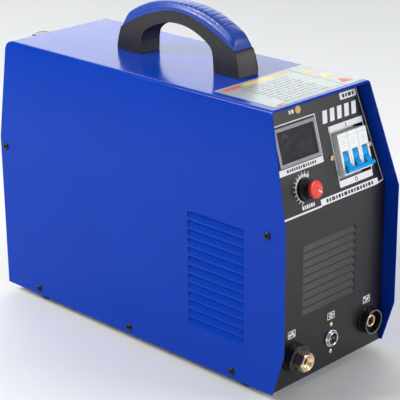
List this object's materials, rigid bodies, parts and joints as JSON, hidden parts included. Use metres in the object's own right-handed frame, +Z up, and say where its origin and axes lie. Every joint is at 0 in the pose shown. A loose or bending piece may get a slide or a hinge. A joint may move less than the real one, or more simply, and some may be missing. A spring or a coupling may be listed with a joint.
{
  "type": "plasma cutter unit",
  "caption": "Inverter plasma cutter in a blue folded-sheet case with a carry handle, a leaning control panel, torch and ground sockets, a rear fan and an air filter regulator.",
  "frame": {"origin": "on the floor, under the middle of the unit's whole box", "axes": "+X to the unit's right as seen from in front of the controls, +Y from the front to the back, +Z up"},
  "size_m": [0.2158, 0.5768, 0.4305],
  "materials": {
    "blue_paint": "gloss",
    "black_paint": "satin",
    "galvanised": "satin",
    "black_plastic": "matte",
    "blue_plastic": "gloss",
    "rubber": "matte",
    "black_screw": "satin",
    "grey_plastic": "matte",
    "smoked_window": "gloss",
    "white_plastic": "matte",
    "cyan_plastic": "gloss",
    "red_plastic": "gloss",
    "brass": "polished",
    "chrome": "polished",
    "wire_steel": "satin",
    "clear_bowl": "clear",
    "cast_grey": "cast",
    "aluminium": "satin",
    "ferrite": "matte",
    "copper_winding": "enamelled",
    "board_green": "satin",
    "hose_black": "satin"
  },
  "bodies": {
    "case": {"air_hose": "hose_black", "air_inlet_barb": "brass", "base_tray": "galvanised", "breaker_body": "white_plastic", "breaker_screw_l": "brass", "breaker_screw_r": "brass", "bus_capacitor": "black_plastic", "cable_gland": "black_plastic", "case_screw_l1": "black_screw", "case_screw_l2": "black_screw", "case_screw_l3": "black_screw", "case_screw_l4": "black_screw", "case_screw_l5": "black_screw", "case_screw_r1": "black_screw", "case_screw_r2": "black_screw", "case_screw_r3": "black_screw", "case_screw_r4": "black_screw", "case_screw_r5": "black_screw", "component_shelf": "galvanised", "control_board": "board_green", "control_pin_l": "brass", "control_pin_r": "brass", "control_screw_bottom": "brass", "control_screw_top": "brass", "control_socket_insert": "black_plastic", "control_socket_shell": "chrome", "cover": "blue_paint", "earth_stud": "brass", "fan_frame": "black_plastic", "fan_guard": "wire_steel", "filter_bowl": "clear_bowl", "foot_fl": "rubber", "foot_fr": "rubber", "foot_rl": "rubber", "foot_rr": "rubber", "front_panel": "black_paint", "gauge_body": "black_plastic", "gauge_lens": "clear_bowl", "handle_body": "black_plastic", "handle_cap": "blue_plastic", "heatsink": "aluminium", "meter_bezel": "grey_plastic", "meter_window": "smoked_window", "potentiometer": "galvanised", "rear_panel": "black_paint", "regulator_body": "cast_grey", "regulator_bracket": "black_paint", "torch_fitting": "brass", "torch_insulator": "black_plastic", "transformer_core": "ferrite", "transformer_winding": "copper_winding", "work_socket_body": "black_plastic", "work_socket_sleeve": "brass"},
    "breaker_lever": {"breaker_toggle": "cyan_plastic"},
    "current_dial": {"current_knob": "black_plastic", "current_knob_cap": "red_plastic"},
    "fan": {"fan_rotor": "black_plastic"},
    "pressure_knob": {"regulator_knob": "black_plastic"},
    "drain_plunger": {"drain_valve": "black_plastic"},
    "gauge_pointer": {"gauge_needle": "red_plastic"}
  },
  "joints": [
    {"name": "breaker_switch", "type": "hinge", "parent": "case", "child": "breaker_lever", "pos_m": [0.052, -0.24778, 0.26785], "axis": [-1, 0, 0], "range_deg": [0, 65]},
    {"name": "current_setting", "type": "hinge", "parent": "case", "child": "current_dial", "pos_m": [-0.0385, -0.25609, 0.25047], "axis": [0, 0.9612, -0.2757], "range_deg": [-260, 40]},
    {"name": "fan_spin", "type": "hinge", "parent": "case", "child": "fan", "pos_m": [0, 0.2086, 0.104], "axis": [0, 1, 0], "continuous": true},
    {"name": "pressure_setting", "type": "hinge", "parent": "case", "child": "pressure_knob", "pos_m": [0, 0.2526, 0.3162], "axis": [0, 0, -1], "range_deg": [0, 1800]},
    {"name": "drain_push", "type": "slide", "parent": "case", "child": "drain_plunger", "axis": [0, 0, 1], "range_m": [0, 0.0025], "stiffness_N_per_m": 100},
    {"name": "gauge_reading", "type": "hinge", "parent": "case", "child": "gauge_pointer", "pos_m": [0, 0.2825, 0.284], "axis": [0, -1, 0], "range_deg": [0, 270]}
  ],
  "couplings": [
    {"joint": "gauge_reading", "follows": "pressure_setting", "ratio": 0.15}
  ]
}
